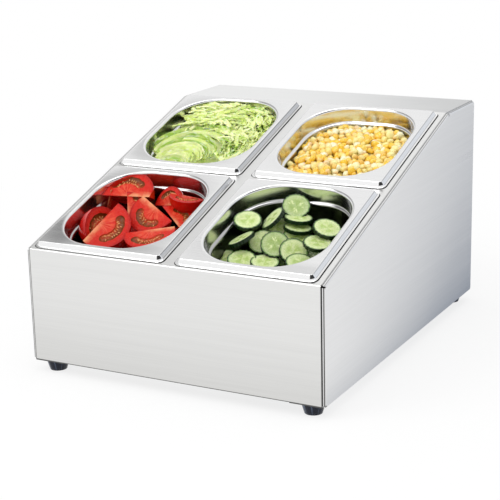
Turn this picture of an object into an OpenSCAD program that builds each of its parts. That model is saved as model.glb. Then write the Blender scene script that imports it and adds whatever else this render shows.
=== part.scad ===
// Countertop garnish station: a folded steel housing with a sloping deck that holds four lift-out pans.
// The front faces -Y, the feet stand on z = 0, and x = 0, y = 0 is the middle of the housing.

/* [Pans] */
// Width of a pan over its flange
pan_w = 162; // [155:1:176]
// Length of a pan over its flange, down the slope
pan_l = 176; // [168:1:190]
// Depth of a pan, from the top of its rim to the outside of its floor
pan_depth = 100; // [65:1:110]
// Thickness of a pan's steel
pan_t = 0.8; // [0.6:0.1:1]
// Height of a pan's rim above the deck
rim_h = 6.2; // [5:0.1:8]
// Width of the thin flange that a pan rests on
rest_w = 2; // [1.8:0.1:3]
// How far the rim's skirt leans out between the land and the flange
skirt_run = 2.7; // [1.5:0.1:3.5]
// Width of the flat land beside the mouth, on the long sides
land_side = 3.8; // [3:0.1:6]
// Width of the flat land at the ends of the mouth
land_end = 3.3; // [3:0.1:6]
// Corner radius of the rim's flat land
land_corner_r = 2.5; // [1:0.1:2.8]
// Corner radius of a pan's mouth
mouth_r = 55.5; // [50:0.5:60]
// Radius of the edge where the land turns down into the wall
mouth_edge_r = 3; // [2:0.1:4]
// Depth of the stacking ledge below the rim
ledge_depth = 18; // [14:1:24]
// Width of the stacking ledge
ledge_w = 3; // [2:0.1:4]
// Fall of the stacking ledge towards the middle, in degrees
ledge_fall = 20; // [5:1:35]
// Lean of the wall above the ledge, in degrees
upper_draft = 3; // [1:0.5:5]
// Lean of the wall below the ledge, in degrees
lower_draft = 4; // [2:0.5:6]
// Radius between a pan's floor and its walls
floor_r = 14; // [8:1:20]

/* [Deck] */
// Deck in front of the front pans, up the slope
front_margin = 2.8; // [2.5:0.1:8]
// Deck between the front and the rear pans
row_gap = 7.3; // [4:0.1:20]
// Deck behind the rear pans
back_margin = 3.5; // [3:0.1:12]
// Deck between the left and the right pans
column_gap = 13.5; // [8:0.5:30]
// Deck beside the pans, out to the side panels
side_margin = 9.25; // [9:0.25:20]
// Play between a pan's wall and its cut-out, all round
pan_play = 2.7; // [2:0.1:4]
// How far the pans lie to the right of the middle of their cut-outs
pan_shift = -1.5; // [-1.5:0.5:1.5]

/* [Housing] */
// Height of the front, from its lower edge to the front edge of the deck
front_h = 128; // [122:1:160]
// Height of the back, from its lower edge to the shelf
rear_h = 240; // [225:1:260]
// Depth of the level shelf behind the deck
shelf_d = 92; // [70:1:140]
// Thickness of the housing's sheet
sheet = 1; // [0.8:0.1:1.5]
// Inside radius of the housing's bends
bend_inside = 1; // [0.8:0.1:2]
// How much of a side panel's folded edge shows beside the deck sheet
edge_reveal = 3.5; // [3.5:0.1:6]
// Width of the side panels' folded edges, under the deck sheet
edge_flange = 14; // [10:0.5:14]
// Width of the folds under the front and the back
base_flange = 20; // [16:1:30]
// Height of the lip that the shelf turns down over the back
lip_h = 18; // [12:1:30]
// Width of the back panel's fold under the shelf
shelf_flange = 15; // [10:1:25]
// Diameter of the relief holes where two bends meet
relief_d = 2.4; // [1.5:0.1:3]
// Width of the gap between two folds at a corner
corner_gap = 0.2; // [0.1:0.1:1]
// Height of the base tray's upturned edge
tray_wall = 12; // [8:1:20]

/* [Rails] */
// Width of the rail under the deck between the two rows
cross_rail_w = 16; // [12:1:20]
// Height of the cross rail
cross_rail_h = 18; // [12:1:24]
// Width of the rails under the deck between the two columns
centre_rail_w = 20; // [14:1:24]
// Height of the centre rails
centre_rail_h = 15; // [10:1:24]

/* [Feet] */
// Height of a foot
foot_h = 13; // [11:0.5:20]
// Diameter of a foot at its top
foot_top_d = 25; // [22:0.5:28]
// Diameter of a foot at its bottom
foot_bottom_d = 19; // [17:0.5:21]
// Height of the straight band at a foot's top
foot_band_h = 3; // [2:0.5:5]
// Rounding of a foot's lower edge
foot_edge_r = 2; // [1:0.1:2]
// Middle of a foot, in from the side panel
foot_from_side = 21; // [18:1:30]
// Middle of a foot, in from the front or the back
foot_from_end = 17; // [17:1:30]
// Diameter of the recess that hides the screw head in a foot
recess_d = 10.5; // [10:0.5:12]
// Depth of that recess
recess_h = 6; // [5:0.5:7]

/* [Fasteners] */
// Diameter of the foot screws
screw_d = 5; // [4:0.5:6]
// Diameter of a foot screw's head
screw_head_d = 9.5; // [8.5:0.5:9.5]
// Height of a foot screw's head
screw_head_h = 3; // [2:0.5:4]
// Size of a foot nut across its flats
nut_flats = 8; // [8:0.5:10]
// Height of a foot nut
nut_h = 4; // [3:0.5:5]
// Outside diameter of a foot washer
washer_d = 10; // [9.5:0.5:14]
// Thickness of a foot washer
washer_t = 1; // [0.8:0.1:1.5]
// Diameter of the rivets
rivet_d = 3.2; // [3:0.1:4]
// Diameter of a rivet's head
rivet_head_d = 6.4; // [6:0.1:8]
// Height of a rivet's head
rivet_head_h = 1; // [0.6:0.1:1]

/* [Hidden] */
// Air between a pan's flange and the deck, and round a screw or a rivet in its hole
seat = 0.1;
screw_play = 0.3;
rivet_play = 0.1;
thread_play = 0.05;
// Air between folded pieces that lie inside each other
nest = 0.3;
// Flats that stand for a round bend
bend_steps = 6;
$fn = 48;

// A bend's outside radius, and how far a fold reaches into the panel that it is one piece with
bend_r = sheet + bend_inside;
fold_lap = sheet / 2;

// The housing's size follows from the pans that it holds
slope_l = front_margin + pan_l + row_gap + pan_l + back_margin;
slope_a = asin((rear_h - front_h) / slope_l);
body_w = side_margin + pan_w + column_gap + pan_w + side_margin;
body_d = slope_l * cos(slope_a) + shelf_d;
front_y = -body_d / 2;
back_y = body_d / 2;
kink_y = back_y - shelf_d;
base_z = foot_h;
front_z = base_z + front_h;
shelf_z = base_z + rear_h;

// Middles of the pans, across the deck and up the slope
column_x = (column_gap + pan_w) / 2;
front_row_v = front_margin + pan_l / 2;
rear_row_v = front_row_v + pan_l + row_gap;
row_middle_v = (front_row_v + rear_row_v) / 2;

// How far a pan's wall reaches into its land, which it is one piece with
land_lap = land_end / 3;

// Places of the corner axes that a pan's walls and its rim turn about
core_x = pan_w / 2 - rest_w - skirt_run - land_side - mouth_r;
core_y = pan_l / 2 - rest_w - skirt_run - land_end - mouth_r;
rim_inset = rest_w + skirt_run + land_corner_r;
rim_core_x = pan_w / 2 - rim_inset;
rim_core_y = pan_l / 2 - rim_inset;

// Corner radius of a cut-out in the deck
cutout_r = mouth_r - mouth_edge_r + pan_t + pan_play;

// Half the width of the deck sheet, and of the folds between the side panels' bottom flanges
deck_half_w = body_w / 2 - edge_reveal;
side_base_flange = foot_from_side + 0.75 * foot_top_d;
base_half_w = body_w / 2 - side_base_flange - nest;
under_half_w = body_w / 2 - edge_flange - nest;

// Side view of the housing, clockwise from its lower front corner
house = [[front_y, base_z], [front_y, front_z], [kink_y, shelf_z], [back_y, shelf_z], [back_y, base_z]];

// Places of the feet and the rivets
foot_x = body_w / 2 - foot_from_side;
foot_y = body_d / 2 - foot_from_end;
side_rivet_y = body_d / 6;
end_rivet_x = body_w / 5;
front_rivet_y = front_y + base_flange / 2 + bend_r / 2;
back_rivet_y = back_y - sheet - base_flange / 2 - bend_r / 2;
corner_rivet_x = body_w / 2 - (bend_r + edge_flange) / 2;
corner_rivet_z = [base_z + 0.12 * rear_h, base_z + 0.47 * rear_h, base_z + 0.82 * rear_h];

steel = [0.80, 0.81, 0.82];
bright_steel = [0.88, 0.89, 0.90];
zinc = [0.70, 0.72, 0.74];
rubber = [0.09, 0.10, 0.13];

// Direction from one point to the next, the unit vector to its left, and the turn between two directions
function heading(a, b) = atan2(b[1] - a[1], b[0] - a[0]);
function left_of(h) = [-sin(h), cos(h)];
function turn(a, b) = let (d = b - a) d > 180 ? d - 360 : d < -180 ? d + 360 : d;
function turn_at(a, b, c) = turn(heading(a, b), heading(b, c));

// Points of a round bend in place of a sharp corner, each with its heading
function bend(p, r, i) =
    let (
        h = heading(p[i - 1], p[i]),
        a = turn_at(p[i - 1], p[i], p[i + 1]),
        start = p[i] - r * tan(abs(a) / 2) * [cos(h), sin(h)],
        side = a > 0 ? 1 : -1
    )
    [for (k = [0:bend_steps])
        let (now = h + a * k / bend_steps)
        concat(start + side * r * (left_of(h) - left_of(now)), now)];

// A path with its corners rounded, as points with their headings
function rounded_path(p, r) =
    let (last = len(p) - 1)
    [
        concat(p[0], heading(p[0], p[1])),
        for (i = [1:1:last - 1]) each bend(p, is_list(r) ? r[i] : r, i),
        concat(p[last], heading(p[last - 1], p[last]))
    ];

// A list of points without repeats
function distinct(p) = [for (i = [0:len(p) - 1]) if (i == 0 || norm(p[i] - p[i - 1]) > 0.001) p[i]];

// Outline of a bent sheet: one face follows the rounded path, the other lies t to its right
function sheet_outline(p, r, t) =
    let (s = rounded_path(p, r), n = len(s) - 1)
    distinct(concat(
        [for (q = s) [q[0], q[1]]],
        [for (i = [n:-1:0]) [s[i][0], s[i][1]] - t * left_of(s[i][2])]
    ));

// A clockwise outline whose edges have moved inwards, each by its own amount or all alike
function inset(p, d) =
    let (n = len(p))
    [for (i = [0:n - 1])
        let (
            j = (i + n - 1) % n,
            h1 = heading(p[j], p[i]),
            h2 = heading(p[i], p[(i + 1) % n]),
            a = p[i] - (is_list(d) ? d[j] : d) * left_of(h1),
            b = p[i] - (is_list(d) ? d[i] : d) * left_of(h2),
            u = [cos(h1), sin(h1)],
            v = [cos(h2), sin(h2)]
        )
        a + cross(b - a, v) / cross(u, v) * u];

// How far a fold stops short of a corner
function mitre(a, b, c) = bend_r * tan(abs(turn_at(a, b, c)) / 2) + corner_gap / 2;

// Extrudes a side view across the housing
module across(from, to) {
    translate([from, 0, 0])
        rotate([90, 0, 90])
            linear_extrude(to - from)
                children();
}

// Places children on the deck: x across, y up the slope, z square to it, 0 at its top face
module on_deck() {
    translate([0, front_y, front_z])
        rotate([slope_a, 0, 0])
            children();
}

module at_feet() {
    for (x = [-foot_x, foot_x], y = [-foot_y, foot_y])
        translate([x, y, 0])
            children();
}

module at_base_rivets() {
    for (side = [-1, 1]) {
        for (y = [-side_rivet_y, side_rivet_y])
            translate([side * foot_x, y, base_z])
                children();
        for (y = [front_rivet_y, back_rivet_y])
            translate([side * end_rivet_x, y, base_z])
                children();
    }
}

module at_back_rivets() {
    for (side = [-1, 1], z = corner_rivet_z)
        translate([side * corner_rivet_x, back_y - sheet, z])
            rotate([90, 0, 0])
                children();
}

module rivet_hole() {
    translate([0, 0, -sheet])
        cylinder(d = rivet_d + 2 * rivet_play, h = 5 * sheet);
}

module foot_screw_holes() {
    at_feet()
        translate([0, 0, base_z - sheet])
            cylinder(d = screw_d + 2 * screw_play, h = 5 * sheet);
}

// One fold along an edge of a flat panel, from the panel's plane round to a flange
module fold(before, from, to, after, width) {
    start = mitre(before, from, to);
    end = mitre(from, to, after);
    translate(to)
        rotate([90, 0, heading(from, to) - 90])
            translate([0, 0, end])
                linear_extrude(norm(to - from) - start - end)
                    polygon(sheet_outline([[bend_r + fold_lap, 0], [0, 0], [0, width]], bend_r, sheet));
}

// A flat panel with all its edges folded up, and a relief hole at each corner
module folded_panel(corners, widths) {
    n = len(corners);
    flat = inset(corners, bend_r);
    difference() {
        union() {
            linear_extrude(sheet)
                polygon(flat);
            for (i = [0:n - 1])
                fold(corners[(i + n - 1) % n], corners[i], corners[(i + 1) % n],
                    corners[(i + 2) % n], widths[i]);
        }
        for (c = flat)
            translate([c[0], c[1], -sheet])
                cylinder(d = relief_d, h = 3 * sheet);
    }
}

// Front apron, sloping deck with four cut-outs, shelf and rear lip, bent from one sheet
module deck_sheet() {
    lip = [back_y, shelf_z - lip_h];
    path = [house[0], house[1], house[2], house[3], lip];
    footed_path = concat([[front_y + base_flange, base_z]], path);
    color(steel)
        difference() {
            union() {
                across(-base_half_w, base_half_w)
                    polygon(sheet_outline(footed_path, bend_r, sheet));
                across(-deck_half_w, -base_half_w)
                    polygon(sheet_outline(path, bend_r, sheet));
                across(base_half_w, deck_half_w)
                    polygon(sheet_outline(path, bend_r, sheet));
            }
            on_deck()
                for (x = [-column_x, column_x], v = [front_row_v, rear_row_v])
                    translate([x, v, -2 * sheet])
                        linear_extrude(4 * sheet)
                            cutout();
            at_base_rivets()
                rivet_hole();
        }
}

module cutout() {
    square([2 * (core_x + cutout_r), 2 * core_y], center = true);
    square([2 * core_x, 2 * (core_y + cutout_r)], center = true);
    for (x = [-core_x, core_x], y = [-core_y, core_y])
        translate([x, y])
            circle(r = cutout_r);
}

// Back panel, tucked behind the lip, with a fold under the shelf and one at the base
module back_panel() {
    y = back_y - sheet;
    top = shelf_z - sheet;
    wall = [[y, top], [y, base_z]];
    hung = concat([[y - shelf_flange, top]], wall);
    footed = concat(hung, [[y - base_flange, base_z]]);
    color(steel)
        difference() {
            union() {
                across(-base_half_w, base_half_w)
                    polygon(sheet_outline(footed, bend_r, sheet));
                for (side = [-1, 1])
                    mirror([side < 0 ? 1 : 0, 0, 0]) {
                        across(base_half_w, under_half_w)
                            polygon(sheet_outline(hung, bend_r, sheet));
                        across(under_half_w, deck_half_w)
                            translate([y - sheet, base_z])
                                square([sheet, top - nest - base_z]);
                    }
            }
            at_back_rivets()
                rivet_hole();
            at_base_rivets()
                rivet_hole();
        }
}

// Left side panel: its folded edges lie under the deck sheet and the back panel
module side_panel_left() {
    corners = inset(house, [sheet, sheet, sheet, 2 * sheet, 0]);
    color(steel)
        difference() {
            translate([-body_w / 2, 0, 0])
                rotate([90, 0, 90])
                    folded_panel(corners, [edge_flange, edge_flange, edge_flange, edge_flange, side_base_flange]);
            foot_screw_holes();
            at_base_rivets()
                rivet_hole();
            at_back_rivets()
                rivet_hole();
        }
}

module side_panel_right() {
    mirror([1, 0, 0])
        side_panel_left();
}

// Base tray, lying on the bottom flanges of all four walls
module base_tray() {
    x = body_w / 2 - sheet - nest;
    front = front_y + 2 * sheet + nest;
    back = back_y - 3 * sheet - nest;
    corners = [[-x, front], [-x, back], [x, back], [x, front]];
    color(steel)
        difference() {
            translate([0, 0, base_z + sheet])
                folded_panel(corners, [tray_wall, tray_wall, tray_wall, tray_wall]);
            foot_screw_holes();
            at_base_rivets()
                rivet_hole();
        }
}

// Side view of a channel with its back up, for the rails
module channel(w, h) {
    polygon(sheet_outline([[-w / 2, -h], [-w / 2, 0], [w / 2, 0], [w / 2, -h]], bend_r, sheet));
}

module cross_rail() {
    color(zinc)
        on_deck()
            translate([0, row_middle_v, -sheet])
                across(-under_half_w, under_half_w)
                    channel(cross_rail_w, cross_rail_h);
}

// A rail up the slope, between two places on it
module centre_rail(from, to) {
    color(zinc)
        on_deck()
            translate([0, to, -sheet])
                rotate([90, 0, 0])
                    linear_extrude(to - from)
                        channel(centre_rail_w, centre_rail_h);
}

module centre_rail_front() {
    centre_rail(2 * bend_r + sheet, row_middle_v - cross_rail_w / 2 - nest);
}

module centre_rail_rear() {
    centre_rail(row_middle_v + cross_rail_w / 2 + nest, slope_l - 2 * bend_r);
}

// Sweeps a side view round a rounded rectangle whose corner axes are x and y from its middle
module rim_sweep(x, y) {
    for (side = [0, 1])
        mirror([side, 0, 0]) {
            for (end = [0, 1])
                mirror([0, end, 0])
                    translate([x, y, 0])
                        rotate_extrude(angle = 90)
                            children();
            translate([x, y, 0])
                rotate([90, 0, 0])
                    linear_extrude(2 * y)
                        children();
        }
    for (end = [0, 1])
        mirror([0, end, 0])
            translate([-x, y, 0])
                rotate([90, 0, 90])
                    linear_extrude(2 * x)
                        children();
}

// Side view of a pan's wall, from the corner axis out: floor, lower wall, stacking ledge, upper wall, mouth edge
function wall_outline() =
    let (
        floor_z = rim_h - pan_depth + pan_t,
        mouth = mouth_r - mouth_edge_r,
        ledge_z = rim_h - ledge_depth,
        shoulder = mouth - ledge_depth * tan(upper_draft),
        neck = shoulder - ledge_w,
        neck_z = ledge_z - ledge_w * tan(ledge_fall),
        heel = neck - (neck_z - floor_z) * tan(lower_draft),
        path = [
            [0, floor_z], [heel, floor_z], [neck, neck_z],
            [shoulder, ledge_z], [mouth, rim_h], [mouth_r + land_lap, rim_h]
        ]
    )
    sheet_outline(path, [0, floor_r, 3 * pan_t, 2.5 * pan_t, mouth_edge_r], pan_t);

// Side view of the rim, from its corner axis out: land, leaning skirt and the flange that rests on the deck
function rim_outline() =
    let (
        skirt = land_corner_r + skirt_run,
        path = [[0, rim_h], [land_corner_r, rim_h], [skirt, pan_t], [skirt + rest_w, pan_t]]
    )
    sheet_outline(path, [0, 1.5 * pan_t, pan_t], pan_t);

// The flat land between the mouth and the rim's skirt
module land() {
    translate([0, 0, rim_h - pan_t])
        linear_extrude(pan_t)
            for (side = [0, 1], end = [0, 1])
                mirror([side, 0])
                    mirror([0, end]) {
                        difference() {
                            translate([core_x, core_y])
                                square([rim_core_x - core_x, rim_core_y - core_y]);
                            translate([core_x, core_y])
                                circle(r = mouth_r, $fn = 96);
                        }
                        translate([0, core_y + mouth_r])
                            square([core_x, rim_core_y - core_y - mouth_r]);
                        translate([core_x + mouth_r, 0])
                            square([rim_core_x - core_x - mouth_r, core_y]);
                    }
}

// A drawn pan, standing on its flange at z = 0
module pan() {
    color(bright_steel)
        union() {
            rim_sweep(core_x, core_y)
                polygon(wall_outline());
            translate([-core_x, -core_y, rim_h - pan_depth])
                cube([2 * core_x, 2 * core_y, pan_t]);
            rim_sweep(rim_core_x, rim_core_y)
                polygon(rim_outline());
            land();
        }
}

module pan_at(x, v) {
    on_deck()
        translate([x + pan_shift, v, seat])
            pan();
}

module foot_at(x, y) {
    top_r = foot_top_d / 2;
    side = [[0, 0], [foot_bottom_d / 2, 0], [top_r, foot_h - foot_band_h], [top_r, foot_h], [0, foot_h]];
    edges = [0, foot_edge_r, foot_edge_r / 2, foot_edge_r / 3];
    color(rubber)
        translate([x, y, 0])
            difference() {
                rotate_extrude()
                    polygon([for (p = rounded_path(side, edges)) [p[0], p[1]]]);
                translate([0, 0, -1])
                    cylinder(d = screw_d + 2 * screw_play, h = foot_h + 2);
                translate([0, 0, -1])
                    cylinder(d = recess_d, h = recess_h + 1);
            }
}

// Screws from below, their heads hidden in the feet
module foot_screws() {
    stack = base_z + 2 * sheet + washer_t + nut_h;
    tip = stack + screw_d / 5;
    point = screw_d / 10;
    head_r = screw_head_d / 2;
    r = screw_d / 2;
    low = recess_h - screw_head_h;
    slot = [0.6 * screw_head_d, 0.12 * screw_head_d, screw_head_h];
    color(zinc)
        at_feet()
            difference() {
                rotate_extrude()
                    polygon([
                        [0, low], [0.75 * head_r, low], [head_r, low + 0.4 * screw_head_h],
                        [head_r, recess_h], [r, recess_h], [r, tip - point], [r - point, tip], [0, tip]
                    ]);
                for (a = [0, 90])
                    translate([0, 0, low])
                        rotate(a)
                            cube(slot, center = true);
            }
}

module foot_washers() {
    color(zinc)
        at_feet()
            translate([0, 0, base_z + 2 * sheet])
                difference() {
                    cylinder(d = washer_d, h = washer_t);
                    translate([0, 0, -1])
                        cylinder(d = screw_d + 2 * screw_play, h = washer_t + 2);
                }
}

module foot_nuts() {
    color(zinc)
        at_feet()
            translate([0, 0, base_z + 2 * sheet + washer_t])
                difference() {
                    cylinder(d = nut_flats / cos(30), h = nut_h, $fn = 6);
                    translate([0, 0, -1])
                        cylinder(d = screw_d + 2 * thread_play, h = nut_h + 2);
                }
}

// A set rivet through two sheets: head below z = 0, formed end above them
module rivet() {
    head_r = rivet_head_d / 2;
    r = rivet_d / 2;
    grip = 2 * sheet;
    bulb_r = 1.5 * r;
    bulb_h = 1.4 * r;
    rotate_extrude()
        polygon([
            [0, -rivet_head_h], [0.6 * head_r, -rivet_head_h], [head_r, -0.3 * rivet_head_h],
            [head_r, 0], [r, 0], [r, grip], [bulb_r, grip], [bulb_r, grip + 0.7 * bulb_h],
            [0.6 * bulb_r, grip + bulb_h], [0, grip + bulb_h]
        ]);
}

module base_rivets() {
    color(zinc)
        at_base_rivets()
            rivet();
}

module back_rivets() {
    color(zinc)
        at_back_rivets()
            rivet();
}

deck_sheet();
back_panel();
side_panel_left();
side_panel_right();
base_tray();
cross_rail();
centre_rail_front();
centre_rail_rear();
pan_at(-column_x, front_row_v);  // pan_front_left
pan_at(column_x, front_row_v);  // pan_front_right
pan_at(-column_x, rear_row_v);  // pan_rear_left
pan_at(column_x, rear_row_v);  // pan_rear_right
foot_at(-foot_x, -foot_y);  // foot_front_left
foot_at(foot_x, -foot_y);  // foot_front_right
foot_at(-foot_x, foot_y);  // foot_rear_left
foot_at(foot_x, foot_y);  // foot_rear_right
foot_screws();
foot_washers();
foot_nuts();
base_rivets();
back_rivets();
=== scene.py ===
"""Countertop garnish station: folded steel housing, four lift-out pans, and the garnishes in them."""

import math
import random

import bmesh
import bpy
from mathutils import Matrix, Vector, noise


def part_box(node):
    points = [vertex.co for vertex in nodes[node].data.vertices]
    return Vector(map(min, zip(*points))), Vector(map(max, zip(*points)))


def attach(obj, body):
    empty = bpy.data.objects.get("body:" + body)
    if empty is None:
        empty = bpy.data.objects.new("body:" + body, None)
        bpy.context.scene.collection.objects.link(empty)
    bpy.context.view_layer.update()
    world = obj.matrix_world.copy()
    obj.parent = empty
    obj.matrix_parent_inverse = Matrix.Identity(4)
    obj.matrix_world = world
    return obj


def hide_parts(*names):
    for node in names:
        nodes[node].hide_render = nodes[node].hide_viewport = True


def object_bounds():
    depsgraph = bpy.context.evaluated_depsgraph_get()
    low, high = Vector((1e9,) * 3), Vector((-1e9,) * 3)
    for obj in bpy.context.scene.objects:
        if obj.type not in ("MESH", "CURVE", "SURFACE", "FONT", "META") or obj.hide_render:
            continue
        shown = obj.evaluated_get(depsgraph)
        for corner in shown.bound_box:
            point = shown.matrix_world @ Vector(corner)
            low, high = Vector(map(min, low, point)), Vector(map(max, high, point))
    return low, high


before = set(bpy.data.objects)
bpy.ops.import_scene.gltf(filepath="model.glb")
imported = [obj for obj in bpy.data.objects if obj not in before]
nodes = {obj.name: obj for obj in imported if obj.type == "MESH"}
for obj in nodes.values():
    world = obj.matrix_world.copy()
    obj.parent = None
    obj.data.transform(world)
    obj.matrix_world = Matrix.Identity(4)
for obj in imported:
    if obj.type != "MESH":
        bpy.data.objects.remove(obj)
cad_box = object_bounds()

# A millimetre in metres, and a metre in millimetres
MM, METRE = 0.001, 1000.0
PANS = ("front_left", "front_right", "rear_left", "rear_right")

# Sizes of the housing and its pans, in millimetres, as the solids have them
FRONT_HEIGHT, SLOPE_RISE, SLOPE_LENGTH = 141.0, 112.0, 365.6
SLOPE = math.asin(SLOPE_RISE / SLOPE_LENGTH)
PAN_WIDTH, PAN_LENGTH, PAN_DEPTH, PAN_STEEL = 162.0, 176.0, 100.0, 0.8
RIM_HEIGHT, FLANGE_CORNER, PAN_GAP = 6.2, 7.2, 0.1
CORE_X, CORE_Y, MOUTH_RADIUS = 17.0, 24.5, 55.5
COLUMNS = {"left": -89.25, "right": 86.25}
ROWS = {"front": 90.8, "rear": 274.1}


# The camera: where the photographer stood, a little right of the front

def set_camera():
    camera = start("camera", bpy.ops.object.camera_add)
    camera.data.sensor_width = 36.0
    camera.data.lens = 102.45
    camera.data.clip_end = 50.0
    turn, down, roll = 27.975, 15.712, -1.34
    camera.matrix_world = (Matrix.Translation((0.7359, -1.4226, 0.5522)) @ turned(turn)
                           @ turned(90.0 - down, "X") @ turned(roll))
    bpy.context.scene.camera = camera


# Materials: values wrap a node's socket, so that patterns are written as sums

class Value:
    """A number, a colour or a vector that a node gives."""

    def __init__(self, finish, socket):
        self.finish = finish
        self.socket = socket

    def __add__(self, other):
        return self.finish.maths("ADD", self, other)

    def __radd__(self, other):
        return self.finish.maths("ADD", other, self)

    def __sub__(self, other):
        return self.finish.maths("SUBTRACT", self, other)

    def __rsub__(self, other):
        return self.finish.maths("SUBTRACT", other, self)

    def __mul__(self, other):
        return self.finish.maths("MULTIPLY", self, other)

    def __truediv__(self, other):
        return self.finish.maths("DIVIDE", self, other)

    def __pow__(self, other):
        return self.finish.maths("POWER", self, other)

    def __abs__(self):
        return self.finish.maths("ABSOLUTE", self)


class Finish:
    """A material, or the world, that is being put together from nodes."""

    def __init__(self, owner, output="ShaderNodeOutputMaterial"):
        owner.use_nodes = True
        self.owner = owner
        self.tree = owner.node_tree
        self.tree.nodes.clear()
        self.end = self.tree.nodes.new(output)

    def node(self, kind, settings=None, sockets=None, out=0):
        made = self.tree.nodes.new(kind)
        for key, value in (settings or {}).items():
            setattr(made, key, value)
        for key, value in (sockets or {}).items():
            if isinstance(value, Value):
                self.tree.links.new(value.socket, made.inputs[key])
            else:
                made.inputs[key].default_value = value
        return Value(self, made.outputs[out])

    def maths(self, operation, *values):
        return self.node("ShaderNodeMath", {"operation": operation}, dict(enumerate(values)))

    def most(self, first, second):
        return self.maths("MAXIMUM", first, second)

    def place(self):
        return self.node("ShaderNodeTexCoord", out="Object")

    def attribute(self, name, out="Vector"):
        return self.node("ShaderNodeAttribute", {"attribute_name": name}, out=out)

    def axes(self, vector):
        split = self.node("ShaderNodeSeparateXYZ", sockets={0: vector})
        outputs = split.socket.node.outputs
        return tuple(Value(self, output) for output in outputs)

    def vector(self, *axes):
        return self.node("ShaderNodeCombineXYZ", sockets=dict(enumerate(axes)))

    def stretched(self, vector, scale):
        return self.node("ShaderNodeMapping", sockets={"Vector": vector, "Scale": scale})

    def noise(self, vector, scale, detail=3.0, roughness=0.55, distortion=0.0):
        return self.node("ShaderNodeTexNoise", sockets={"Vector": vector, "Scale": scale, "Detail": detail,
                                                        "Roughness": roughness, "Distortion": distortion})

    def range(self, value, low, high, to_low=0.0, to_high=1.0):
        return self.node("ShaderNodeMapRange", {"interpolation_type": "SMOOTHSTEP"},
                         {0: value, 1: low, 2: high, 3: to_low, 4: to_high})

    def mix(self, factor, first, second):
        first = (*first, 1.0) if isinstance(first, tuple) else first
        second = (*second, 1.0) if isinstance(second, tuple) else second
        return self.node("ShaderNodeMix", {"data_type": "RGBA"}, {0: factor, 6: first, 7: second}, out=2)

    def bump(self, height, distance, strength):
        return self.node("ShaderNodeBump", sockets={"Height": height, "Distance": distance,
                                                    "Strength": strength}, out="Normal")

    def surface(self, shader):
        self.tree.links.new(shader.socket, self.end.inputs["Surface"])
        return self.owner


def material(name):
    return Finish(bpy.data.materials.new(name))


def brushed_steel(name, tone, roughness, grain=(8.0, 900.0, 900.0), depth=0.5, satin=0.05, painted_shading=None):
    """Stainless steel, finely brushed along the axis whose grain value is small, with painted shade mixed in
    where a shading function is given.
    """
    m = material(name)
    place = m.place()
    streaks = m.noise(m.stretched(place, grain), 1.0, 4.0, 0.65)
    long_streaks = m.noise(m.stretched(place, tuple(g * 0.22 for g in grain)), 1.0, 2.0, 0.5)
    smudges = m.noise(place, 9.0, 3.0, 0.6, 0.4)
    patch = m.range(smudges, 0.35, 0.75)
    lines = streaks * 0.65 + long_streaks * 0.35
    dark = tuple(c * 0.955 for c in tone)
    colour = m.mix(m.range(lines, 0.32, 0.68), dark, tone)
    rough = roughness + (lines - 0.5) * 0.16 + patch * satin
    if painted_shading:
        # Painted shade: the colour goes towards near black where the shading function marks it.
        colour = m.mix(painted_shading(m, place), colour, (0.015, 0.015, 0.015))
    return m.surface(m.node("ShaderNodeBsdfPrincipled", sockets={
        "Base Color": colour, "Metallic": 1.0, "Roughness": rough,
        "Normal": m.bump(lines, 0.00002 * depth, 0.5)}))


def in_deck(m, place):
    """Across, up the slope and square to the deck, in millimetres, of a place on the station."""
    x, y, z = m.axes(place)
    y, z = (y - cad_box[0].y) * METRE, z * METRE - FRONT_HEIGHT
    return x * METRE, y * math.cos(SLOPE) + z * math.sin(SLOPE), z * math.cos(SLOPE) - y * math.sin(SLOPE)


def at_front(m, place):
    """One on the sheets' front faces, nought behind them."""
    y = m.axes(place)[1]
    return m.range(y, cad_box[0].y + 0.003, cad_box[0].y + 0.002)


def sheet_edge_shade(m, place):
    """Painted shade on the deck sheet: the painted shadow line round each pan, and painted shade in its side
    joints and along its bottom edge.
    """
    x, y, z = m.axes(place)
    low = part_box("deck_sheet")[0].z
    # Painted shade in the side joints, darker on the front face.
    joint = m.range(abs(x) * METRE, 173.5, 174.1) * (0.35 + at_front(m, place) * 0.55)
    # Painted shade along the apron's bottom edge.
    bottom = m.range(z, low + 0.0018, low + 0.0012, 0.0, 0.85)
    return m.most(m.most(pan_gap_shadow(m, place), joint), bottom)


def pan_gap_shadow(m, place):
    """A painted shadow line on the deck round each pan, where its rim keeps the light out."""
    x, v, w = in_deck(m, place)
    lower_row = m.range(v, 190.0, 170.0)
    middle, aside = (COLUMNS["left"] + COLUMNS["right"]) / 2, (COLUMNS["right"] - COLUMNS["left"]) / 2
    half, apart = (ROWS["front"] + ROWS["rear"]) / 2, (ROWS["rear"] - ROWS["front"]) / 2
    across = abs(abs(x - middle) - aside) - (PAN_WIDTH / 2 - FLANGE_CORNER)
    along = abs(abs(v - half) - apart) - (PAN_LENGTH / 2 - FLANGE_CORNER)
    across, along = m.most(across, 0.0), m.most(along, 0.0)
    gap = abs((across * across + along * along) ** 0.5 - FLANGE_CORNER)
    beside = m.range(across - along, -2.0, 3.0)
    before = 0.25 + lower_row * 0.65
    return m.range(gap, 0.9 + beside * 0.6, 0.4 + beside * 0.3) * (before + (1.0 - before) * beside)


def side_joint_shade(m, place):
    """Painted shade at the joint of a side panel's fold with the deck, and a faint painted shade line along
    its bend.
    """
    x = abs(m.axes(place)[0]) * METRE
    front = at_front(m, place)
    joint, bend = abs(x - 174.4), abs(x - 176.8)
    return m.most(m.range(joint, 0.9, 0.5) * (0.4 + front * 0.5),
                  m.range(bend, 0.65, 0.35) * (0.5 + front * 0.4))


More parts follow.
